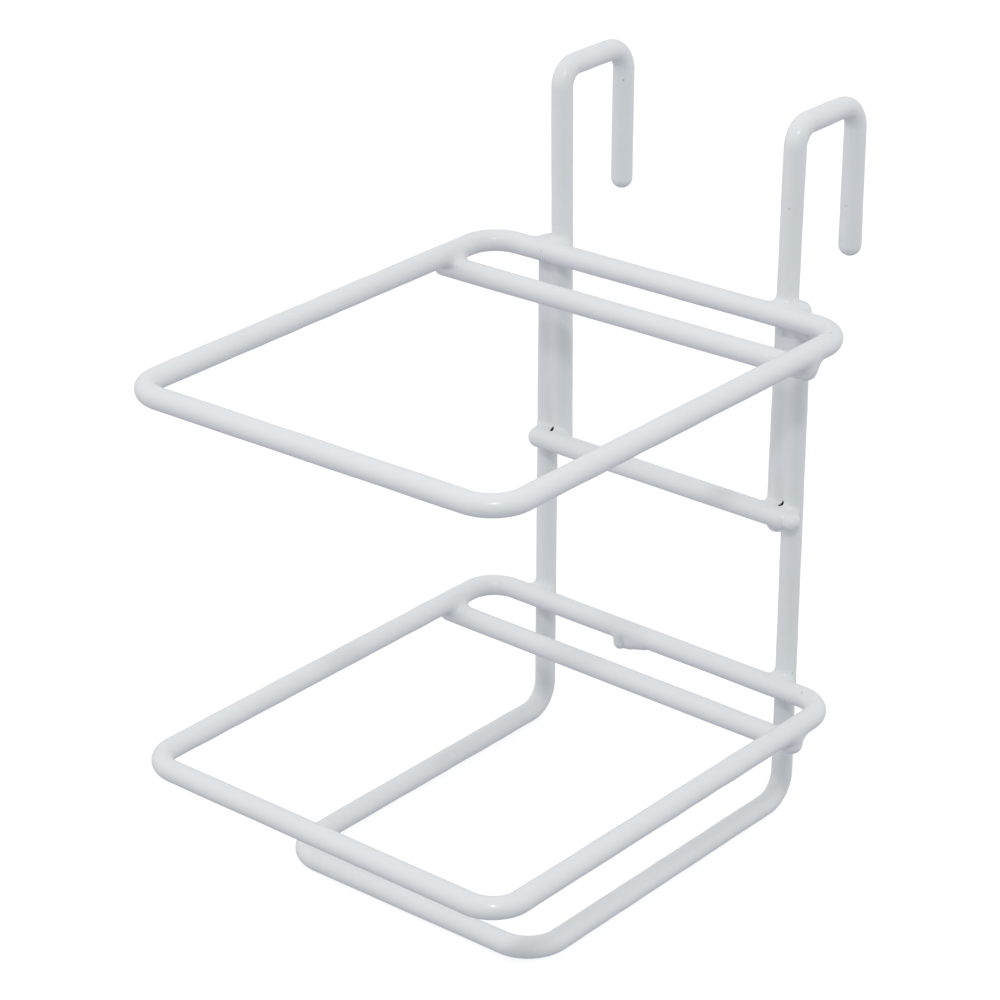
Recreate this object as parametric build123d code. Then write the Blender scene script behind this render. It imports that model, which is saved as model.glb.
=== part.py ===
from build123d import *
from math import radians, tan
import os

os.makedirs("parts", exist_ok=True)

# A wire rack for a hair dryer. Eight bare steel wires are bent, spot-welded where they cross, and
# then dipped in plastic, so each wire carries a sleeve of coating that runs into its neighbours'.
# The rack stands on its base frame, or hangs by the two hooks that reach back over a rail or a panel.
# Millimetres and degrees. +Z is up, the hooks point back along +Y, and the plane between the two
# uprights is x = 0. The origin is on the floor, half way from the front wire to the hooks' backs.

# Wire and coating
wire_d = 4.2            # bare steel wire
coat_t = 0.9            # plastic skin on it
end_cap = 1.5           # how far the steel reaches into the rounded end of its coating

# Base frame: two uprights, bent forwards at the floor and joined across the front
upright_half = 42.0     # half the spacing of the uprights
base_depth = 109.0      # uprights to the front wire
foot_bend = 7.5         # centreline radius where an upright turns forwards
front_bend = 10.0       # and at the two front corners
left_end = 0.5          # how far each upright's rounded end stands above the top ring's centreline
right_end = 1.0
right_lean = 0.15       # the right upright stands this much further out at its top

# Hook wires: they lie inside the uprights and spread a little towards the top. Each is given from
# its front leg's lower end to its back leg's
left_foot, left_foot_x = 2.0, 36.7     # the leg's end below the middle bar's centreline, and its x
right_foot, right_foot_x = 3.8, 37.1
left_top_x, left_top_z = 38.1, 196.5    # where the front leg turns back over the rail
right_top_x, right_top_z = 38.5, 196.9
hook_fall = 0.4         # the run over the rail falls a little towards the back
hook_reach = 27.0       # front leg to back leg, centre to centre
left_drop = 38.5        # top of the front leg down to the back leg's rounded end
right_drop = 39.9
hook_front_bend = 5.5
hook_back_bend = 7.0

# Rings: rounded rectangles whose back wires lie against the uprights' front
top_z, top_width, top_depth, top_bend = 145.5, 119.0, 140.5, 9.5
lower_z, lower_width, lower_depth, lower_bend = 38.4, 118.5, 140.0, 9.0
top_roll = -0.9         # each ring is welded on a little out of level: negative lifts its +X side
lower_roll = 0.45

# Cross bars: one across all four uprights, and one under each ring, in front of its back wire
middle_z = 88.8
middle_ends = (-41.75, 43.2)
top_bar_back, top_bar_ends = 17.0, (-61.9, 59.0)
lower_bar_back, lower_bar_ends = 16.5, (-60.5, 59.0)

# Welds
set_down = 0.05         # how far two crossing wires are pressed into each other
nugget_r, nugget_t = 1.4, 1.6
butt_x, butt_gap = -9.3, 1.2
top_butt_r, lower_butt_r = 2.2, 2.5
drop_r, swelling_r = 1.65, 2.5   # the plastic that ran down over the lower ring's rough butt weld

# Worked out from the above
wire_r = wire_d / 2
coat_r = wire_r + coat_t
crossing = wire_d - set_down
upright_y = (top_depth + crossing - hook_reach) / 2
ring_y = upright_y - crossing


def straight(start, end, r, core=0):
    """A round rod from start to end, or a tube where it has a core radius."""
    place = Plane(origin=start, z_dir=end - start)
    length = (end - start).length
    solid = Solid.make_cylinder(r, length, place)
    return solid.cut(Solid.make_cylinder(core, length, place)) if core else solid


def bend(start, corner, after, bend_r, r, core=0):
    """The arc of rod that turns the run start-corner into corner-after, with the arc's two ends."""
    along, onward = (corner - start).normalized(), (after - corner).normalized()
    turn = along.get_angle(onward)
    setback = bend_r * tan(radians(turn) / 2)
    normal = along.cross(onward).normalized()
    begin, finish = corner - along * setback, corner + onward * setback
    section = Circle(r) - Circle(core) if core else Circle(r)
    centre = begin + normal.cross(along) * bend_r
    arc = revolve(Plane(origin=begin, z_dir=along) * section, Axis(centre, normal), turn)
    return arc, begin, finish


def rod(points, bends, r, core=0):
    """A round rod or tube along the points, with one bend radius for each inner point."""
    pieces, here = [], points[0]
    for i, bend_r in enumerate(bends, start=1):
        arc, begin, finish = bend(points[i - 1], points[i], points[i + 1], bend_r, r, core)
        pieces += [straight(here, begin, r, core), arc]
        here = finish
    pieces.append(straight(here, points[-1], r, core))
    return pieces[0].fuse(*pieces[1:]) if len(pieces) > 1 else pieces[0]


def ends(wire):
    """A wire's two ends, each with the direction that points out of it; a closed ring has none."""
    if wire["closed"]:
        return []
    points = wire["points"]
    pairs = [(points[0], points[1]), (points[-1], points[-2])]
    return [(end, (end - inner).normalized()) for end, inner in pairs]


def bare(wire):
    """The steel in a wire's coating, which reaches into the coating's rounded ends."""
    points = list(wire["points"])
    for i, (end, out) in zip((0, -1), ends(wire)):
        points[i] = end + out * end_cap
    return rod(points, wire["bends"], wire_r)


def dipped(wire):
    """The space that a coated wire fills: rounded at the wire's ends."""
    solid = rod(wire["points"], wire["bends"], coat_r)
    caps = [Pos(end) * Sphere(coat_r) for end, _ in ends(wire)]
    return solid.fuse(*caps) if caps else solid


def sleeve(wire):
    """The coating alone: a tube along the wire, with a dome over each end."""
    tube = rod(wire["points"], wire["bends"], coat_r, core=wire_r)
    caps = [(Pos(end) * Sphere(coat_r)).cut(straight(end - out * wire_d, end + out * end_cap, wire_r))
            for end, out in ends(wire)]
    return tube.fuse(*caps) if caps else tube


def open_wire(points, bends=()):
    return {"points": [Vector(*p) for p in points], "bends": list(bends), "closed": False}


def hook_wire(foot, foot_x, top_x, z, drop):
    """One hook: up the inside of an upright, back over the rail, and down."""
    back = upright_y + hook_reach
    return open_wire(
        [(foot_x, upright_y, middle_z - foot), (top_x, upright_y, z), (top_x, back, z - hook_fall),
         (top_x, back, z - drop)],
        [hook_front_bend, hook_back_bend])


def base_frame():
    """Down the left upright, forwards along the floor, across the front and back up the right."""
    x, front = upright_half, upright_y - base_depth
    return open_wire(
        [(-x, upright_y, top_z + left_end - x * level(top_roll)), (-x, upright_y, coat_r),
         (-x, front, coat_r), (x, front, coat_r), (x, upright_y, coat_r),
         (x + right_lean, upright_y, top_z + right_end + x * level(top_roll))],
        [foot_bend, front_bend, front_bend, foot_bend])


def level(roll):
    """How much a ring's back wire rises per unit of x."""
    return -tan(radians(roll))


def ring_place(z, roll):
    return Pos(0, ring_y, z) * Rot(0, roll, 0)


def placed(place, *point):
    return (place * Pos(*point)).position


def ring(place, width, depth, corner):
    """A closed ring that starts and ends at its butt weld in the back wire."""
    x = width / 2
    route = [(butt_x, 0, 0), (x, 0, 0), (x, -depth, 0), (-x, -depth, 0), (-x, 0, 0), (butt_x, 0, 0)]
    return {"points": [placed(place, *p) for p in route], "bends": [corner] * 4, "closed": True}


def ring_bar(place, back, ends):
    """The bar under a ring's two side wires."""
    points = [placed(place, x, -back, -crossing) for x in ends]
    return {"points": points, "bends": [], "closed": False}


def nugget(wire_a, run_a, wire_b, run_b):
    """The spot weld where run number run_a of one wire crosses run run_b of another."""
    (a, a_to), (b, b_to) = [w["points"][i:i + 2] for w, i in ((wire_a, run_a), (wire_b, run_b))]
    u, v = (a_to - a).normalized(), (b_to - b).normalized()
    axis = u.cross(v).normalized()
    gap = (b - a).dot(axis)
    across = v.cross(axis)
    on_a = a + u * ((b - a).dot(across) / u.dot(across))
    middle = on_a + axis * (gap / 2)
    return Solid.make_cylinder(nugget_r, nugget_t, Plane(middle - axis * (nugget_t / 2), z_dir=axis))


def butt_weld(place, r):
    """The weld that closes a ring, a disc between the wire's two ends."""
    start = placed(place, butt_x - butt_gap / 2, 0, 0)
    end = placed(place, butt_x + butt_gap / 2, 0, 0)
    return straight(start, end, r)


def blob(start, end, r):
    """A run of plastic with round ends."""
    return straight(start, end, r).fuse(Pos(start) * Sphere(r), Pos(end) * Sphere(r))


def weld_runs(place):
    """Over the lower ring's rough butt weld: a drop under one wire end, a swelling under the other."""
    drop = [placed(place, butt_x - 1.9, -1.15, -1.4), placed(place, butt_x - 1.9, -0.9, -3.8)]
    swelling = [placed(place, butt_x + 1.3, -0.3, -2.3), placed(place, butt_x + 5.8, -0.3, -1.1)]
    return [blob(*drop, drop_r), blob(*swelling, swelling_r)]


top_place = ring_place(top_z, top_roll)
lower_place = ring_place(lower_z, lower_roll)

# In dipping order: where two coatings meet, the earlier one keeps its full round section
wires = {
    "base_frame_wire": base_frame(),
    "hook_wire_left": hook_wire(left_foot, -left_foot_x, -left_top_x, left_top_z, left_drop),
    "hook_wire_right": hook_wire(right_foot, right_foot_x, right_top_x, right_top_z, right_drop),
    "top_ring_wire": ring(top_place, top_width, top_depth, top_bend),
    "lower_ring_wire": ring(lower_place, lower_width, lower_depth, lower_bend),
    "middle_cross_bar": open_wire([(x, ring_y, middle_z) for x in middle_ends]),
    "top_cross_bar": ring_bar(top_place, top_bar_back, top_bar_ends),
    "lower_cross_bar": ring_bar(lower_place, lower_bar_back, lower_bar_ends),
}
frame, left, right, top, lower, middle, top_bar, lower_bar = wires.values()

# A run is numbered from its first point: the frame's uprights are its runs 0 and 4, a hook's front
# leg is its run 0, and a ring's back wire is its runs 0 and 4, with its sides 1 and 3
welds = {
    "top_ring_upright_welds": [nugget(top, 4, frame, 0), nugget(top, 0, frame, 4)],
    "top_ring_hook_welds": [nugget(top, 4, left, 0), nugget(top, 0, right, 0)],
    "lower_ring_upright_welds": [nugget(lower, 4, frame, 0), nugget(lower, 0, frame, 4)],
    "middle_bar_upright_welds": [nugget(middle, 0, frame, 0), nugget(middle, 0, frame, 4)],
    "middle_bar_hook_welds": [nugget(middle, 0, left, 0), nugget(middle, 0, right, 0)],
    "top_bar_welds": [nugget(top_bar, 0, top, 3), nugget(top_bar, 0, top, 1)],
    "lower_bar_welds": [nugget(lower_bar, 0, lower, 3), nugget(lower_bar, 0, lower, 1)],
    "top_ring_butt_weld": [butt_weld(top_place, top_butt_r)],
    "lower_ring_butt_weld": [butt_weld(lower_place, lower_butt_r)],
}
weld_solids = [solid for group in welds.values() for solid in group]
steel = {name: bare(wire).cut(*weld_solids) for name, wire in wires.items()}
runs_of_plastic = weld_runs(lower_place)


def coating(name, dipped_before):
    """One wire's sleeve, cut back where the other wires, the welds and earlier sleeves run."""
    solid = sleeve(wires[name])
    if name == "lower_ring_wire":
        solid = solid.fuse(*[run.cut(bare(wires[name])) for run in runs_of_plastic])
    others = [other for key, other in steel.items() if key != name]
    return solid.cut(*weld_solids).cut(*others, *dipped_before)


def write(name, solids):
    part = Compound(children=list(solids)) if len(solids) > 1 else solids[0]
    part.label = name
    export_step(part, f"parts/{name}.step")
    print(f"{name:32} {len(solids)} solid(s) {sum(s.volume for s in solids):9.1f} mm3")


for name, solids in welds.items():
    write(name, solids)
for name, solid in steel.items():
    write(name, solid.solids())
dipped_before = []
for name, wire in wires.items():
    write(name + "_coating", coating(name, dipped_before).solids())
    dipped_before.append(dipped(wire))
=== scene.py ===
# %% [markdown]
# # A hair dryer holder, dipped in white plastic
#
# The real rack is eight lengths of steel wire, bent, spot-welded where they cross, and dipped in
# liquid plastic. The dip leaves one smooth skin. It swells where wires lie side by side, it rounds
# every inside corner with a small fillet, it rounds off the cut ends, and it gathers into drops
# where it ran. The CAD model holds the wires, the welds and a plain sleeve for each wire. This file
# keeps those as the frame and makes the skin that the eye sees.

# %% Load the CAD frame
import math
import bmesh
import bpy
import numpy as np
from mathutils import Matrix, Vector


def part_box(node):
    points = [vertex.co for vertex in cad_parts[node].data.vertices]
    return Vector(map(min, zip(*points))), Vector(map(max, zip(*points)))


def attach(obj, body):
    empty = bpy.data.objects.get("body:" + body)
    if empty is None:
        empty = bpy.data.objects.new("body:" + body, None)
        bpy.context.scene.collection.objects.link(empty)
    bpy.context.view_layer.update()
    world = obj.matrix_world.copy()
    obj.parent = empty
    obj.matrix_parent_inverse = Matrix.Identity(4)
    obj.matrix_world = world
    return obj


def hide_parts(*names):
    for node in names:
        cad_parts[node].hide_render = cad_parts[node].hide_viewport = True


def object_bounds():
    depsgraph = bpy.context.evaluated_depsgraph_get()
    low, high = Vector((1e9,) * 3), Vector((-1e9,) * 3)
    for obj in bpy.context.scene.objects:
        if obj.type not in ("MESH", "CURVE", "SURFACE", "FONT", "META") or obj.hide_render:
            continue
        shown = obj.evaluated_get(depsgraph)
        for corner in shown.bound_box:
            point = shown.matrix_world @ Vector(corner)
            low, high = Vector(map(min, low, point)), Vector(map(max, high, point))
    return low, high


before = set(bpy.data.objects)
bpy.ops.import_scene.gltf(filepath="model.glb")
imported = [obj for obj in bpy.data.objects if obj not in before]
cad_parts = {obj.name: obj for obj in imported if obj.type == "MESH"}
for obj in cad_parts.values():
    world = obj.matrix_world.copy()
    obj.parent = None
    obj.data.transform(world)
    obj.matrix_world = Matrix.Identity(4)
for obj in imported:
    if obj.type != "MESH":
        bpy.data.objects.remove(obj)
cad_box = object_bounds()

mm = 0.001

# %% [markdown]
# ## Where the wires run
#
# Everything starts from the centrelines of the wires. They could be typed in, but then a change to
# the CAD model would leave the skin behind. Instead they are read from the CAD nodes: a round wire's
# box, moved in by the wire's radius, is the box of its centreline.

# %% Measure the CAD nodes


def points_of(mesh):
    """Every vertex of a mesh, in metres, as one array."""
    flat = np.empty(3 * len(mesh.vertices), dtype=np.float32)
    mesh.vertices.foreach_get("co", flat)
    return flat.reshape(-1, 3).astype(float)


def inset(node, r):
    """The lowest and highest corner of a node's box, moved in by r."""
    low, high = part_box(node)
    return np.array(low) + r, np.array(high) - r


def radius_of(node):
    """Half the height of a level bar's box."""
    low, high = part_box(node)
    return (high[2] - low[2]) / 2


coat_r = radius_of("middle_cross_bar_coating")
wire_r = radius_of("middle_cross_bar")
print(f"coated wire {coat_r / mm:.2f} mm in radius, steel {wire_r / mm:.2f} mm")

# %% [markdown]
# A route is a list of corners, each with the radius of its bend and with the fullness of the coat
# there, because a dipped coat is thicker on some wires than on others. The rings are welded on a
# little out of level, so their height at the left and the right comes from their own vertices.

# %% Routes of the two rings and the three bars


def rise(node, r):
    """Half of how much higher a level-ish wire's right end is than its left end."""
    low, high = inset(node, r)
    points = points_of(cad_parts[node].data)
    right = points[points[:, 0] > 0][:, 2].max()
    left = points[points[:, 0] < 0][:, 2].max()
    return math.copysign((high[2] - low[2]) / 2, right - left)


def ring_route(node, bend, fullness):
    """Back right, front right, front left, back left, with the coat's fullness at each."""
    low, high = inset(node, wire_r)
    middle, up = (low[2] + high[2]) / 2, rise(node, wire_r)
    places = [(high[0], high[1], middle + up), (high[0], low[1], middle + up),
              (low[0], low[1], middle - up), (low[0], high[1], middle - up)]
    corners = [(*place, full) for place, full in zip(places, fullness)]
    return {"corners": corners, "bends": [bend] * 4, "closed": True}


def bar_route(node, fullness):
    """From the centre of the left end's dome to that of the right one."""
    low, high = inset(node, wire_r)
    left_end, right_end = inset(node + "_coating", coat_r)
    middle, up = (low[2] + high[2]) / 2, rise(node, wire_r)
    y = (low[1] + high[1]) / 2
    corners = [(left_end[0], y, middle - up, fullness), (right_end[0], y, middle + up, fullness)]
    return {"corners": corners, "bends": [0, 0], "closed": False}


routes = {
    "top_ring_wire": ring_route("top_ring_wire", 9.5 * mm, (1.0, 0.985, 0.99, 0.995)),
    "lower_ring_wire": ring_route("lower_ring_wire", 9.0 * mm, (0.99, 1.0, 0.965, 0.965)),
    "middle_cross_bar": bar_route("middle_cross_bar", 0.975),
    "top_cross_bar": bar_route("top_cross_bar", 1.01),
    "lower_cross_bar": bar_route("lower_cross_bar", 1.0),
}
bead_gap = 1.5 * mm         # the middle bar's coat stops short at the right, and a bead closes it
last_x, *rest = routes["middle_cross_bar"]["corners"][1]
routes["middle_cross_bar"]["corners"][1] = (last_x - bead_gap, *rest)
for name, route in routes.items():
    print(f"{name:18} first corner {[round(v / mm, 1) for v in route['corners'][0][:3]]} mm")

# %% Routes of the base frame and the two hooks


def furthest(node, axis, side, keep):
    """How far a node reaches along an axis, moved in by the coat, where keep(points) holds."""
    points = points_of(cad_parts[node].data)
    values = points[keep(points)][:, axis]
    return values.max() - coat_r if side > 0 else values.min() + coat_r


frame_node = "base_frame_wire_coating"
front_splay = 0.3 * mm      # the front right corner of the base stands out a little
foot_bend, front_bend = 7.5 * mm, 10 * mm
low, high = inset(frame_node, coat_r)
left_top = furthest(frame_node, 2, 1, lambda p: p[:, 0] < 0)
right_foot = furthest(frame_node, 0, 1, lambda p: p[:, 2] < low[2] + coat_r)
top_fullness = (0.935, 0.95)
foot_fullness = (0.95, 0.955, 0.985, 0.96)
on_floor = [coat_r * full for full in foot_fullness]
routes["base_frame_wire"] = {
    "corners": [(low[0], high[1], left_top, top_fullness[0]),
                (low[0], high[1], on_floor[0], foot_fullness[0]),
                (low[0], low[1], on_floor[1], foot_fullness[1]),
                (right_foot + front_splay, low[1], on_floor[2], foot_fullness[2]),
                (right_foot, high[1], on_floor[3], foot_fullness[3]),
                (high[0], high[1], high[2], top_fullness[1])],
    "bends": [0, foot_bend, front_bend, front_bend, foot_bend, 0],
    "closed": False}


rise_bend, drop_bend = 5.5 * mm, 7 * mm


def hook_route(node, side, fullness):
    """Up the front leg, back over the rail and down the back leg."""
    low, high = inset(node, coat_r)
    inner, outer = sorted((abs(low[0]), abs(high[0])))
    back_top = furthest(node, 2, 1, lambda p: p[:, 1] > high[1] - drop_bend)
    back_end = furthest(node, 2, -1, lambda p: p[:, 1] > high[1] - coat_r)
    places = [(side * inner, low[1], low[2]), (side * outer, low[1], high[2]),
              (side * outer, high[1], back_top), (side * outer, high[1], back_end)]
    corners = [(*place, full) for place, full in zip(places, fullness)]
    return {"corners": corners, "bends": [0, rise_bend, drop_bend, 0], "closed": False}


routes["hook_wire_left"] = hook_route("hook_wire_left_coating", -1, (0.96, 0.98, 0.975, 0.99))
routes["hook_wire_right"] = hook_route("hook_wire_right_coating", 1, (0.94, 0.985, 0.97, 1.025))
print("hooks end at", [round(routes[n]["corners"][-1][2] / mm, 1)
                       for n in ("hook_wire_left", "hook_wire_right")], "mm above the floor")

# %% [markdown]
# ## Sweeping the wires with Geometry Nodes
#
# All the routes go into one mesh of edges, with the bend radius and the fullness stored on its
# vertices. One node tree then does to every wire what a wire bender does: it turns each chain of
# edges into a curve, rounds its corners to the stored radius, sweeps a circle along it, and puts a
# dome on each open end. The circle's scale follows the fullness.

# %% One mesh of edges for all the wires


def route_mesh():
    """Every route's corners as vertices, joined by edges, with two numbers stored on each."""
    points, edges, bends, fullness = [], [], [], []
    for route in routes.values():
        first, count = len(points), len(route["corners"])
        for corner, bend in zip(route["corners"], route["bends"]):
            points.append(corner[:3])
            bends.append(bend)
            fullness.append(corner[3])
        edges += [(first + i, first + i + 1) for i in range(count - 1)]
        if route["closed"]:
            edges.append((first + count - 1, first))
    mesh = bpy.data.meshes.new("wire_routes")
    mesh.from_pydata(points, edges, [])
    for name, values in (("bend", bends), ("fullness", fullness)):
        mesh.attributes.new(name, "FLOAT", "POINT").data.foreach_set("value", values)
    return mesh


wires = bpy.data.objects.new("plastic_coating", route_mesh())
bpy.context.collection.objects.link(wires)
print(len(wires.data.vertices), "corners,", len(wires.data.edges), "straight runs")

# %% A helper for node trees


def add_node(tree, kind, settings=None, **sockets):
    """One node: its settings first, then a value or a link for each named socket."""
    node = tree.nodes.new(kind)
    for key, value in (settings or {}).items():
        setattr(node, key, value)
    for name, value in sockets.items():
        socket = next(s for s in node.inputs if s.enabled and
                      name in (s.name.replace(" ", "_"), s.identifier.replace(" ", "_")))
        if isinstance(value, bpy.types.NodeSocket):
            tree.links.new(value, socket)
        else:
            socket.default_value = value
    return node


def tree_inputs(tree, *inputs):
    """Named inputs for a Geometry Nodes tree; returns the node that hands them out."""
    tree.interface.new_socket("Geometry", in_out="INPUT", socket_type="NodeSocketGeometry")
    for name, kind in inputs:
        tree.interface.new_socket(name, in_out="INPUT", socket_type="NodeSocket" + kind)
    tree.interface.new_socket("Geometry", in_out="OUTPUT", socket_type="NodeSocketGeometry")
    return tree.nodes.new("NodeGroupInput").outputs


# %% The tree that sweeps a coated wire
sweep = bpy.data.node_groups.new("coated wire", "GeometryNodeTree")
given = tree_inputs(sweep, ("Coat Radius", "Float"), ("Steps Per Bend", "Int"), ("Sides", "Int"),
                    ("Coating", "Material"))
bend_at = add_node(sweep, "GeometryNodeInputNamedAttribute", {"data_type": "FLOAT"}, Name="bend")
full_at = add_node(sweep, "GeometryNodeInputNamedAttribute", {"data_type": "FLOAT"}, Name="fullness")
centreline = add_node(sweep, "GeometryNodeMeshToCurve", Mesh=given["Geometry"])
bent = add_node(sweep, "GeometryNodeFilletCurve", {"mode": "POLY"}, Curve=centreline.outputs[0],
                Count=given["Steps Per Bend"], Radius=bend_at.outputs[0])
circle = add_node(sweep, "GeometryNodeCurvePrimitiveCircle", Resolution=given["Sides"],
                  Radius=given["Coat Radius"])
tubes = add_node(sweep, "GeometryNodeCurveToMesh", Curve=bent.outputs[0],
                 Profile_Curve=circle.outputs[0], Scale=full_at.outputs[0], Fill_Caps=True)
tips = add_node(sweep, "GeometryNodeCurveEndpointSelection")
cyclic = add_node(sweep, "GeometryNodeInputSplineCyclic")
is_open = add_node(sweep, "FunctionNodeBooleanMath", {"operation": "NOT"},
                   Boolean=cyclic.outputs[0])
open_tips = add_node(sweep, "FunctionNodeBooleanMath", {"operation": "AND"},
                     Boolean=tips.outputs[0], Boolean_001=is_open.outputs[0])
dome = add_node(sweep, "GeometryNodeMeshUVSphere", Segments=given["Sides"], Rings=24,
                Radius=given["Coat Radius"])
domes = add_node(sweep, "GeometryNodeInstanceOnPoints", Points=bent.outputs[0],
                 Selection=open_tips.outputs[0], Instance=dome.outputs[0], Scale=full_at.outputs[0])
real = add_node(sweep, "GeometryNodeRealizeInstances", Geometry=domes.outputs[0])
both = add_node(sweep, "GeometryNodeJoinGeometry")
sweep.links.new(tubes.outputs[0], both.inputs[0])
sweep.links.new(real.outputs[0], both.inputs[0])
coated = add_node(sweep, "GeometryNodeSetMaterial", Geometry=both.outputs[0],
                  Material=given["Coating"])
add_node(sweep, "NodeGroupOutput", Geometry=coated.outputs[0])
print("sweep tree has", len(sweep.nodes), "nodes")

# %% [markdown]
# ## Helpers for the materials
#
# Shader maths reads best as plain expressions. A small class wraps a socket and turns `+`, `*` and
# the rest into Math nodes, and one method adds any other node.

# %% A socket that can be used in an expression


class Value:
    """A shader socket. Arithmetic on it adds Math nodes to its tree."""

    def __init__(self, tree, socket):
        self.tree, self.socket = tree, socket

    def maths(self, operation, *terms):
        """One Math node, with a link or a number in each of its sockets."""
        node = self.tree.nodes.new("ShaderNodeMath")
        node.operation = operation
        for socket, term in zip(node.inputs, terms):
            if isinstance(term, Value):
                self.tree.links.new(term.socket, socket)
            else:
                socket.default_value = term
        return Value(self.tree, node.outputs[0])

    def __add__(self, other):
        return self.maths("ADD", self, other)

    def __radd__(self, other):
        return self.maths("ADD", other, self)

    def __sub__(self, other):
        return self.maths("SUBTRACT", self, other)

    def __rsub__(self, other):
        return self.maths("SUBTRACT", other, self)

    def __mul__(self, other):
        return self.maths("MULTIPLY", self, other)

    def __rmul__(self, other):
        return self.maths("MULTIPLY", other, self)

    def __gt__(self, other):
        return self.maths("GREATER_THAN", self, other)

    def __lt__(self, other):
        return self.maths("LESS_THAN", self, other)

    def __abs__(self):
        return self.maths("ABSOLUTE", self)

    def exponent(self):
        return self.maths("EXPONENT", self)

    def between(self, low, high):
        """0 below low, 1 above high, and a smooth ramp between."""
        return node_value(self.tree, "ShaderNodeMapRange", {"interpolation_type": "SMOOTHSTEP"},
                          Value=self, From_Min=low, From_Max=high)


def node_value(tree, kind, settings=None, output=0, **sockets):
    """Any other node, as a Value: its settings first, then its sockets."""
    plain = {k: v.socket if isinstance(v, Value) else v for k, v in sockets.items()}
    return Value(tree, add_node(tree, kind, settings, **plain).outputs[output])


def new_material(name, **constants):
    """A material whose shader already has its constant sockets set."""
    material = bpy.data.materials.new(name)
    material.use_nodes = True
    tree = material.node_tree
    shader = tree.nodes["Principled BSDF"]
    for socket, value in constants.items():
        shader.inputs[socket.replace("_", " ")].default_value = value
    place = node_value(tree, "ShaderNodeTexCoord", output=3)
    return material, tree, shader, place


def feed(tree, shader, **sockets):
    """Links a Value to each named socket of a shader."""
    for name, value in sockets.items():
        tree.links.new(value.socket, shader.inputs[name.replace("_", " ")])


def noise(tree, place, size, detail=2.0):
    """Soft noise from 0 to 1 whose blobs are about `size` metres across."""
    return node_value(tree, "ShaderNodeTexNoise", Vector=place, Scale=1 / size, Detail=detail)


def blend_colours(tree, factor, first, second):
    """The first colour where factor is 0 and the second where it is 1."""
    first, second = [c if isinstance(c, Value) else (*c, 1) for c in (first, second)]
    return node_value(tree, "ShaderNodeMix", {"data_type": "RGBA"}, output=2,
                      Factor=factor, A=first, B=second)


# %% [markdown]
# ## The plastic
#
# Dipped vinyl cures to a cool white with a soft gloss. Close up it isn't perfect: it has a faint
# orange peel, its gloss changes slowly along a wire, and a few specks of dust and burst bubbles show
# as grey points. All of that is far finer than the mesh, so it belongs in the material.

# %% White dipped plastic
# Where the larger specks sit, in millimetres.
dust = [(59.65, 47.12, 149.4), (38.6, 82.9, 168.5), (40.9, 81.8, 193.8), (-36.3, 83.4, 187.0),
        (44.9, 58.0, 42.0), (46.7, 52.1, 36.7), (51.6, 52.8, 40.5), (39.2, 56.1, 175.5)]


def spots(tree, place, points, size):
    """1 within `size` of any of the points, which are in millimetres, and 0 elsewhere."""
    total = 0
    for point in points:
        away = node_value(tree, "ShaderNodeVectorMath", {"operation": "DISTANCE"}, output=1,
                          Vector=place, Vector_001=Vector(point) * mm)
        total = total + (1 - away.between(0.5 * size, 1.1 * size))
    return total


plastic, tree, shader, place = new_material("white_dipped_plastic", IOR=1.48,
                                            Coat_Weight=0.3, Coat_Roughness=0.07, Coat_IOR=1.45)
cloud = noise(tree, place, 30 * mm)
peel = noise(tree, place, 1.6 * mm, detail=3.0)
grain = noise(tree, place, 0.25 * mm)
cells_per_metre = 1 / (9 * mm)
speck_core, speck_edge = 0.016, 0.030       # in cells
empty_cells = 0.8                           # the share of cells without a speck
nearest = node_value(tree, "ShaderNodeTexVoronoi", Vector=place, Scale=cells_per_metre)
own = node_value(tree, "ShaderNodeTexVoronoi", output=2, Vector=place, Scale=cells_per_metre)
lottery = node_value(tree, "ShaderNodeTexWhiteNoise", Vector=own)
speck = (1 - nearest.between(speck_core, speck_edge)) * (lottery > empty_cells)
burst = speck + spots(tree, place, dust, 0.4 * mm)
# The pit mask marks each pinhole. The near-black colour blended in there is painted shade standing in
# for the deep hole's shade; the mask also dulls the gloss.
pit = node_value(tree, "ShaderNodeAttribute", {"attribute_name": "pit"}, output=2)
dull_white, clear_white = (0.770, 0.792, 0.810), (0.787, 0.806, 0.828)
dust_grey, pinhole_painted_shade = (0.30, 0.29, 0.27), (0.004, 0.004, 0.004)
white = blend_colours(tree, cloud.between(0.3, 0.7), dull_white, clear_white)
dust_strength = 0.4
dusty = blend_colours(tree, burst * dust_strength, white, dust_grey)
colour = blend_colours(tree, pit, dusty, pinhole_painted_shade)
peel_depth = 0.012 * mm                     # grain and dimples are measured against it
grain_height, dimple_depth = 0.12, 4.0
relief = node_value(tree, "ShaderNodeBump", Strength=1.0, Distance=peel_depth,
                    Height=peel + grain * grain_height - burst * dimple_depth)
glossiest, dulled_by_cloud, dulled_by_grain, dulled_by_pit = 0.24, 0.08, 0.04, 0.5
feed(tree, shader, Base_Color=colour, Normal=relief,
     Roughness=glossiest + cloud * dulled_by_cloud + grain * dulled_by_grain + pit * dulled_by_pit)
print(plastic.name, len(tree.nodes), "nodes")

# %% [markdown]
# ## Filling the corners
#
# Plain tubes meet in hard creases, and a dipped coat has none. A bevel can't follow such a junction,
# so the skin is found as a surface instead. Each wire gives a distance, and where two distances are
# close they melt into one another. The zero level of the melted distance is the skin: a plain round
# wire away from the joints, and a fillet at each joint.

# %% Runs and bends of a route, for measuring distances


def unit(v):
    """The same direction with a length of 1."""
    return v / np.linalg.norm(v)


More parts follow.
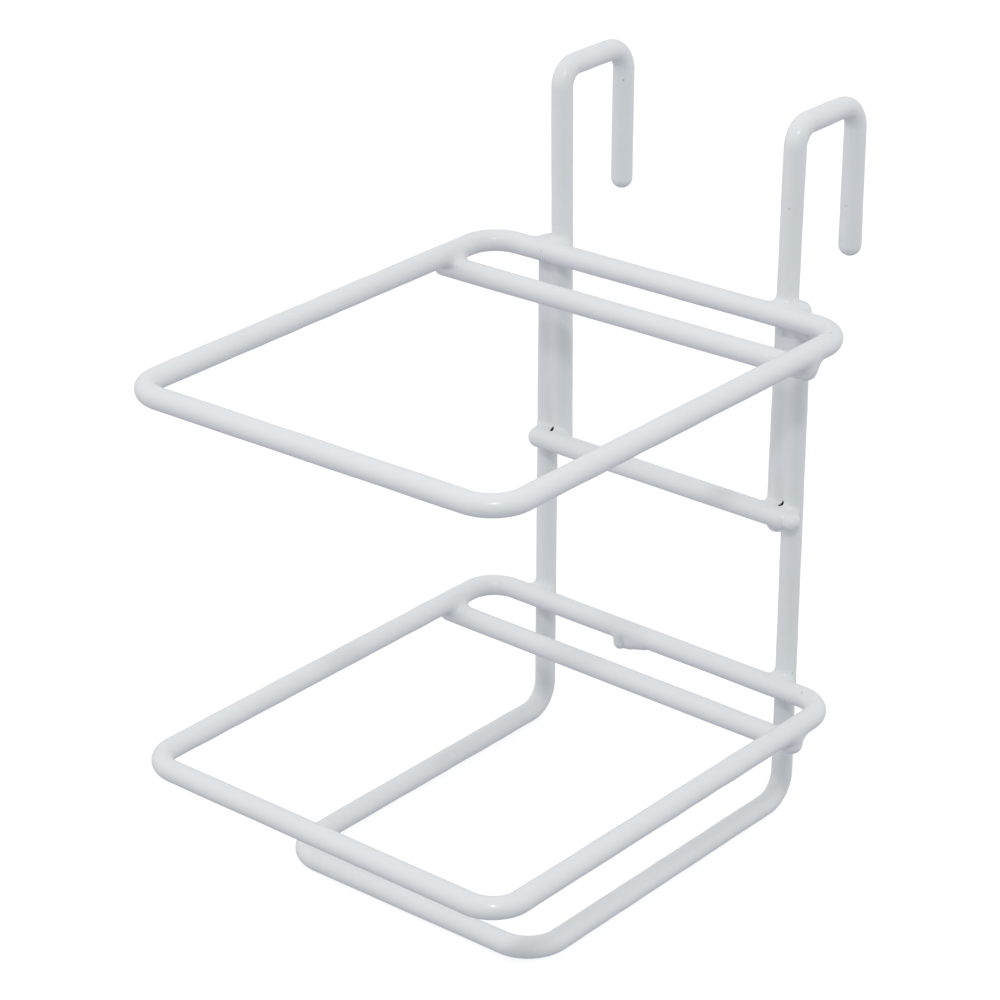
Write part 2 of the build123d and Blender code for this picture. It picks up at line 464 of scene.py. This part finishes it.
def spans(route):
    """The straight runs and the arcs of a route, each with the coat's radius at its ends."""
    corners = [np.array(c[:3]) for c in route["corners"]]
    radii = [coat_r * c[3] for c in route["corners"]]
    count, parts, cuts = len(corners), [], {}
    inner = range(count) if route["closed"] else range(1, count - 1)
    for i in inner:
        here, before, after = corners[i], corners[i - 1], corners[(i + 1) % count]
        onto, away, bend = unit(here - before), unit(after - here), route["bends"][i]
        turn = math.acos(np.clip(onto @ away, -1, 1))
        setback = bend * math.tan(turn / 2)
        start, end = here - onto * setback, here + away * setback
        inward = unit(away - onto * (onto @ away))
        parts.append(("arc", start + inward * bend, -inward, onto, bend, turn, radii[i]))
        cuts[i] = (start, end)
    last = count if route["closed"] else count - 1
    for i in range(last):
        j = (i + 1) % count
        start, end = cuts.get(i, (None, corners[i]))[1], cuts.get(j, (corners[j], None))[0]
        parts.append(("run", start, end, radii[i], radii[j]))
    return parts


def to_span(points, span):
    """Distance from each point to one span's surface, and the unit vector away from it."""
    if span[0] == "run":
        _, start, end, r_start, r_end = span
        along = end - start
        t = np.clip((points - start) @ along / (along @ along), 0, 1)
        near, r = start + t[:, None] * along, r_start + t * (r_end - r_start)
    else:
        _, centre, u, v, bend, turn, r = span
        rel = points - centre
        angle = np.clip(np.arctan2(rel @ v, rel @ u), 0, turn)
        near = centre + bend * (np.cos(angle)[:, None] * u + np.sin(angle)[:, None] * v)
    away = points - near
    length = np.linalg.norm(away, axis=1)
    return length - r, away / np.maximum(length, 1e-9)[:, None]


def to_wire(points, parts):
    """The same for a whole wire, which is the nearest of its spans."""
    best, away = to_span(points, parts[0])
    for span in parts[1:]:
        d, direction = to_span(points, span)
        nearer = d < best
        best = np.where(nearer, d, best)
        away = np.where(nearer[:, None], direction, away)
    return best, away


wire_spans = {name: spans(route) for name, route in routes.items()}
wire_length = sum(np.linalg.norm(s[2] - s[1]) if s[0] == "run" else s[4] * s[5]
                  for parts in wire_spans.values() for s in parts)
print(f"{wire_length:.2f} m of wire")

# %% [markdown]
# The lower ring's butt weld was left rough. The left wire end has a drop of metal and plastic under
# it and the right one a long swelling, with a crease between them and a bridge behind the crease. The
# middle bar's right end has a bead of plastic on it, and plastic ran down beside the right upright's
# top. They are five more round shapes in the distance field. The ripple is the slow unevenness of any
# dipped coat, a few hundredths of a millimetre deep, and it makes the highlights waver as they do on
# the real thing.

# %% The lumps of plastic, and the ripple of the coat
weld_low, weld_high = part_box("lower_ring_butt_weld")
weld = (np.array(weld_low) + np.array(weld_high)) / 2


def lump(place, start, end, r_start, r_end):
    """A round-ended swelling between two offsets from a place, in millimetres."""
    return ("run", place + np.array(start) * mm, place + np.array(end) * mm, r_start * mm, r_end * mm)


drop = lump(weld, (-1.9, -1.3, -1.3), (-1.6, -1.2, -3.65), 1.8, 1.85)
swelling = lump(weld, (1.6, -0.3, -2.4), (5.8, -0.3, -1.1), 2.4, 2.6)
bridge = lump(weld, (0.2, -0.3, -3.9), (1.4, -0.3, -3.65), 1.45, 1.45)
bar_end = wire_spans["middle_cross_bar"][0][2]
bead = lump(bar_end, (2.9, 0.1, 0.1), (3.05, -0.1, 0), 2.45, 2.4)
upright_end = np.array(routes["base_frame_wire"]["corners"][-1][:3])
trickle = lump(upright_end, (1.2, -1.2, -3.8), (3.5, -0.9, -6.1), 1.6, 1.4)
dice = np.random.default_rng(7)
waves = []
for wave_length in (9 * mm, 13 * mm, 19 * mm, 28 * mm):
    heading = unit(dice.normal(size=3))
    waves.append((heading * 2 * math.pi / wave_length, dice.uniform(0, 2 * math.pi)))
ripple_depth = 0.018 * mm


def ripple(points):
    """The coat's unevenness at each point, and its gradient."""
    height, slope = np.zeros(len(points)), np.zeros((len(points), 3))
    for wave, phase in waves:
        angle = points @ wave + phase
        height += ripple_depth * np.sin(angle)
        slope += ripple_depth * np.cos(angle)[:, None] * wave
    return height, slope


# %% Melting the distances together


def melt(a, b, reach, reach_slope=0.0):
    """Joins two distances, each (value, direction), rounding where both are within reach.

    The reach may itself change with height, and reach_slope says how fast."""
    h = np.clip(0.5 + (b[0] - a[0]) / (2 * reach), 0, 1)
    value = b[0] * (1 - h) + a[0] * h - reach * h * (1 - h)
    slope = b[1] * (1 - h)[:, None] + a[1] * h[:, None]
    slope[:, 2] -= h * (1 - h) * reach_slope
    return value, slope


def ease(t):
    """Rises smoothly from 0 to 1 as t does."""
    t = np.clip(t, 0, 1)
    return t * t * (3 - 2 * t)


levels = {name: np.mean([c[2] for c in route["corners"]]) for name, route in routes.items()
          if name.endswith(("ring_wire", "cross_bar"))}
bar_z, ring_z = levels["middle_cross_bar"], levels["top_ring_wire"]
thin_web, full_web = 1.1 * mm, 3.1 * mm
web_start, web_rise = bar_z + 2 * mm, 16 * mm
web_end, web_fall = ring_z - 3 * mm, 8 * mm
joint_band = 3 * mm
sharp_joint, full_joint, bar_joint = 0.9 * mm, 3.0 * mm, 2.1 * mm
crease_reach, bead_reach, lump_reach = 0.35 * mm, 0.3 * mm, 0.9 * mm


def web_reach(z):
    """The plastic between an upright and its hook wire is thickest half way up."""
    rising = ease((z - web_start) / web_rise)
    falling = ease((web_end - z) / web_fall)
    return thin_web + (full_web - thin_web) * rising * falling


def joint_reach(level, full):
    """At a crossing the plastic gathers on top, and leaves the corners under it sharp."""
    return lambda z: sharp_joint + (full - sharp_joint) * ease((z - level) / joint_band + 0.5)


def melt_by_height(points, a, b, reach_at):
    """Joins two distances with a reach that depends on the height."""
    z, nudge = points[:, 2], 0.05 * mm
    reach_slope = (reach_at(z + nudge) - reach_at(z - nudge)) / (2 * nudge)
    return melt(a, b, reach_at(z), reach_slope)


def skin(points):
    """The melted distance of each point to the coat's surface, and its gradient."""
    d = {name: to_wire(points, parts) for name, parts in wire_spans.items()}
    whole = melt(d["base_frame_wire"], to_span(points, trickle), lump_reach)
    for hook in ("hook_wire_left", "hook_wire_right"):
        whole = melt_by_height(points, whole, d[hook], web_reach)
    weld_lumps = melt(to_span(points, bridge), to_span(points, swelling), crease_reach)
    weld_lumps = melt(weld_lumps, to_span(points, drop), crease_reach)
    d["lower_ring_wire"] = melt(d["lower_ring_wire"], weld_lumps, lump_reach)
    d["middle_cross_bar"] = melt(d["middle_cross_bar"], to_span(points, bead), bead_reach)
    for name, level in levels.items():
        full = bar_joint if name == "middle_cross_bar" else full_joint
        whole = melt_by_height(points, whole, d[name], joint_reach(level, full))
    height, slope = ripple(points)
    return whole[0] - height, whole[1] - slope


def settle(points, rounds=4):
    """Moves points along the gradient, a short way each round, until they lie on the skin."""
    least_steepness, longest_step = 0.25, 1.0 * mm
    for _ in range(rounds):
        value, slope = skin(points)
        step = value / np.maximum((slope ** 2).sum(axis=1), least_steepness)
        points = points - np.clip(step, -longest_step, longest_step)[:, None] * slope
    return points


# %% [markdown]
# The tubes are fused by a voxel remesh, which gives an even grid of small faces over the whole rack.
# Its points are then moved onto the skin. Most of them sit on straight wire where they do little, so
# a Decimate keeps the faces where the surface curves, and the points are settled once more.

# %% Helpers that run modifiers and settle meshes


def inputs_of(modifier, **values):
    """Sets a Geometry Nodes modifier's inputs by each socket's identifier."""
    for item in modifier.node_group.interface.items_tree:
        if item.item_type == "SOCKET" and item.in_out == "INPUT":
            value = values.get(item.name.replace(" ", "_"))
            if value is not None:
                modifier[item.identifier] = value


def applied(obj):
    """The object's mesh with its modifiers run, in place of the old one."""
    graph = bpy.context.evaluated_depsgraph_get()
    mesh = bpy.data.meshes.new_from_object(obj.evaluated_get(graph))
    obj.modifiers.clear()
    obj.data = mesh
    return mesh


def move_points(mesh, points):
    """Puts a mesh's vertices at these points."""
    mesh.vertices.foreach_set("co", points.astype(np.float32).ravel())
    mesh.update()


# %% Sweep, fuse and settle
voxel = 0.42 * mm
modifier = wires.modifiers.new("sweep", "NODES")
modifier.node_group = sweep
inputs_of(modifier, Coat_Radius=coat_r, Steps_Per_Bend=16, Sides=48, Coating=plastic)
mesh = applied(wires)
print("swept tubes:", len(mesh.polygons), "faces")

lumps = bmesh.new()
lumps.from_mesh(mesh)
for _, start, end, r_start, r_end in (drop, swelling, bridge, bead, trickle):
    for centre, r in ((start, r_start), (end, r_end)):
        ball = bmesh.ops.create_uvsphere(lumps, u_segments=32, v_segments=16, radius=r)
        bmesh.ops.translate(lumps, verts=ball["verts"], vec=Vector(centre))
lumps.to_mesh(mesh)
lumps.free()

fuse = wires.modifiers.new("fuse", "REMESH")
fuse.mode, fuse.voxel_size, fuse.use_smooth_shade = "VOXEL", voxel, True
mesh = applied(wires)
move_points(mesh, settle(points_of(mesh)))
print("fused skin:", len(mesh.polygons), "faces")

# %% Thin out the faces and settle again
triangle_budget = 140_000
thin_out = wires.modifiers.new("thin_out", "DECIMATE")
thin_out.ratio = triangle_budget / sum(len(p.vertices) - 2 for p in mesh.polygons)
mesh = applied(wires)
move_points(mesh, settle(points_of(mesh)))
print("thinned skin:", len(mesh.polygons), "faces")

# %% [markdown]
# Air was trapped where each hook wire ends beside its upright, just above the middle bar. It burst
# through the coat and left a pinhole on each side. The faces there are cut finer, and the points
# inside the hole are pushed in. An attribute tells the material where the hole is, and the material
# paints the hole's inside near-black: painted shade for the deep hole.

# %% Pinholes


def refine(mesh, centre, reach, cuts):
    """Cuts up the faces within reach of a point."""
    finer = bmesh.new()
    finer.from_mesh(mesh)
    near = [f for f in finer.faces if (f.calc_center_median() - Vector(centre)).length < reach]
    bmesh.ops.subdivide_edges(finer, edges=list({e for f in near for e in f.edges}), cuts=cuts,
                              use_grid_fill=True)
    bmesh.ops.triangulate(finer, faces=finer.faces)
    finer.to_mesh(mesh)
    finer.free()


pinhole_depth, pinhole_reach, well_outside = 2.0 * mm, 2.0 * mm, 9.0
web_front = 54.9 * mm       # where the search for a pinhole's place on the skin starts, in y
wall_start, wall_width, painted_shade_start, painted_shade_width = 0.8, 0.3, 1.0, 0.25    # the rim is at 1
finer_cuts = ((2.4 * mm, 1), (1.7 * mm, 2), (1.2 * mm, 2))
# Across and up from the middle bar in millimetres, lean, then half the width and length.
bubbles = ((-37.7, 3.85, -0.45, 0.46, 0.75), (40.1, 4.6, 0.15, 0.52, 0.85))
pinholes = []
for x, up, lean, half_width, half_length in bubbles:
    centre = settle(np.array([[x * mm, web_front, bar_z + up * mm]]), rounds=20)[0]
    outward = unit(skin(centre[None])[1][0])
    for reach, cuts in finer_cuts:
        refine(mesh, centre, reach, cuts)
    pinholes.append((centre, outward, lean, half_width * mm, half_length * mm))
points = settle(points_of(mesh), rounds=6)
slope = skin(points)[1]
pits = np.zeros(len(points))
for centre, outward, lean, half_width, half_length in pinholes:
    across = unit(np.cross((0, 0, 1.0), outward))
    upward = np.cross(outward, across)
    long_way = unit(upward + lean * across)
    short_way = np.cross(outward, long_way)
    offset = points - centre
    out = np.hypot(offset @ long_way / half_length, offset @ short_way / half_width)
    out[np.linalg.norm(offset, axis=1) > pinhole_reach] = well_outside
    points -= (1 - ease((out - wall_start) / wall_width))[:, None] * outward * pinhole_depth
    # pits marks where the material paints each hole's inside near-black, as painted shade.
    pits = np.maximum(pits, 1 - ease((out - painted_shade_start) / painted_shade_width))
move_points(mesh, points)
mesh.attributes.new("pit", "FLOAT", "POINT").data.foreach_set("value", pits)
print("pinholes at", [np.round(p[0] / mm, 1).tolist() for p in pinholes],
      "mm,", len(mesh.polygons), "faces")

# %% Give the skin its exact normals and material
normals = slope / np.linalg.norm(slope, axis=1)[:, None]
own_normals = np.array([v.normal for v in mesh.vertices])
normals = np.where(pits[:, None] > 0, own_normals, normals)
mesh.polygons.foreach_set("use_smooth", [True] * len(mesh.polygons))
mesh.normals_split_custom_set_from_vertices(normals.tolist())
mesh.materials.clear()
mesh.materials.append(plastic)

# %% The skin stands for the eight CAD sleeves
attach(wires, "root")
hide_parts(*[name + "_coating" for name in routes])

# %% [markdown]
# ## Under the skin
#
# The wires and welds are sealed in, but they are real pieces of the rack, so they get real metals:
# drawn steel with fine scratches, and darker metal where a weld was made.

# %% Drawn steel wire and weld metal


def metal(name, dark, light, rough):
    material, tree, shader, place = new_material(name, Metallic=1.0)
    stain, scratch = noise(tree, place, 6 * mm, detail=4.0), noise(tree, place, 0.3 * mm, detail=3.0)
    relief = node_value(tree, "ShaderNodeBump", Strength=0.5, Distance=0.01 * mm, Height=scratch)
    feed(tree, shader, Base_Color=blend_colours(tree, stain.between(0.3, 0.7), dark, light),
         Roughness=rough + 0.15 * scratch, Normal=relief)
    return material


steel = metal("drawn_steel", (0.42, 0.43, 0.44), (0.60, 0.61, 0.62), 0.25)
burnt = metal("weld_metal", (0.16, 0.14, 0.13), (0.36, 0.33, 0.32), 0.40)
for name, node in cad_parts.items():
    if name.endswith("_coating"):
        continue
    node.data.materials.clear()
    node.data.materials.append(burnt if "weld" in name else steel)

# %% [markdown]
# ## Floor, light and camera
#
# The rack stands on white paper in a soft tent. The tent is a vertical gradient, with a bright panel
# at the left, another behind the rack at the right, and a darker patch low down at the front. One
# small softbox above the camera makes the sparks of light on the bends and the faint shadow that the
# top bar throws on the uprights.

# %% A plain pale floor
half_floor = 20.0
sheet = bpy.data.meshes.new("floor")
sheet.from_pydata([(x * half_floor, y * half_floor, 0) for x, y in ((-1, -1), (1, -1), (1, 1), (-1, 1))],
                  [], [(0, 1, 2, 3)])
floor = bpy.data.objects.new("floor", sheet)
bpy.context.collection.objects.link(floor)
paper, tree, shader, place = new_material("white_paper", Roughness=0.9, Specular_IOR_Level=0.1,
                                          Emission_Color=(1, 1, 1, 1), Emission_Strength=0.8)
fibre = noise(tree, place, 4 * mm, detail=3.0)
dark_fibre, light_fibre = (0.26, 0.26, 0.26), (0.30, 0.30, 0.30)
feed(tree, shader, Base_Color=blend_colours(tree, fibre, dark_fibre, light_fibre))
sheet.materials.append(paper)
floor.visible_diffuse = False
floor.visible_glossy = False

# %% The tent


def toward(azimuth, elevation):
    """A direction: azimuth 0 is the rack's front and 90 its right, in degrees."""
    turn, up = math.radians(azimuth), math.radians(elevation)
    return Vector((math.sin(turn) * math.cos(up), -math.cos(turn) * math.cos(up), math.sin(up)))


world = bpy.data.worlds.new("tent")
bpy.context.scene.world = world
world.use_nodes = True
tree = world.node_tree
sky = tree.nodes["Background"]
looking = node_value(tree, "ShaderNodeTexCoord", output=0)
upness = node_value(tree, "ShaderNodeSeparateXYZ", output=2, Vector=looking)
upper_tint, horizon_tint, horizon_end = (0.343, 0.358, 0.283), (0.075, 0.093, 0.057), 0.8
layers = [(upness.between(-1, 1), upper_tint),
          (1 - abs(upness).between(0, horizon_end), horizon_tint)]
left_panel = (-50, 25, 3.9, (0.322, 0.287, 0.277))
back_panel = (140, 6, 4.6, (0.210, 0.190, 0.190))
dark_patch = (48, -28, 4.3, (-0.285, -0.245, -0.285))
for azimuth, elevation, tightness, tint in (left_panel, back_panel, dark_patch):
    facing = node_value(tree, "ShaderNodeVectorMath", {"operation": "DOT_PRODUCT"}, output=1,
                        Vector=looking, Vector_001=toward(azimuth, elevation))
    layers.append((((facing - 1) * tightness).exponent(), tint))
glow = (0.452, 0.447, 0.527)    # the tent's light low down, to which the layers are added
for amount, tint in layers:
    layer = node_value(tree, "ShaderNodeVectorMath", {"operation": "SCALE"},
                       Vector=tint, Scale=amount)
    glow = node_value(tree, "ShaderNodeVectorMath", {"operation": "ADD"},
                      Vector=glow, Vector_001=layer)
seen = node_value(tree, "ShaderNodeLightPath", output=0)
shown = blend_colours(tree, seen, glow, (1, 1, 1))
tree.links.new(shown.socket, sky.inputs["Color"])
print("tent of", len(layers) + 1, "layers,", len(tree.nodes), "nodes")

# %% One small softbox above the camera
rack_middle = (Vector(cad_box[0]) + Vector(cad_box[1])) / 2
box = bpy.data.lights.new("softbox", "AREA")
box.shape, box.size, box.energy = "DISK", 0.12, 2.5
softbox = bpy.data.objects.new("softbox", box)
bpy.context.collection.objects.link(softbox)
softbox_distance = 1.3
softbox.location = rack_middle + toward(42, 44) * softbox_distance
softbox.rotation_euler = (rack_middle - softbox.location).to_track_quat("-Z", "Y").to_euler()

# %% The camera
look_at, distance = Vector((3.45, -17.13, 108.41)) * mm, 0.9379
camera_roll = math.radians(0.188)
back = toward(39.51, 24.96)
camera_data = bpy.data.cameras.new("camera")
camera_data.lens, camera_data.sensor_width = 131.58, 36
camera = bpy.data.objects.new("camera", camera_data)
bpy.context.collection.objects.link(camera)
camera.location = look_at + back * distance
aim = (-back).to_track_quat("-Z", "Y").to_matrix().to_4x4()
camera.rotation_euler = (aim @ Matrix.Rotation(camera_roll, 4, "Z")).to_euler()
bpy.context.scene.camera = camera
bpy.context.scene.view_settings.view_transform = "Standard"
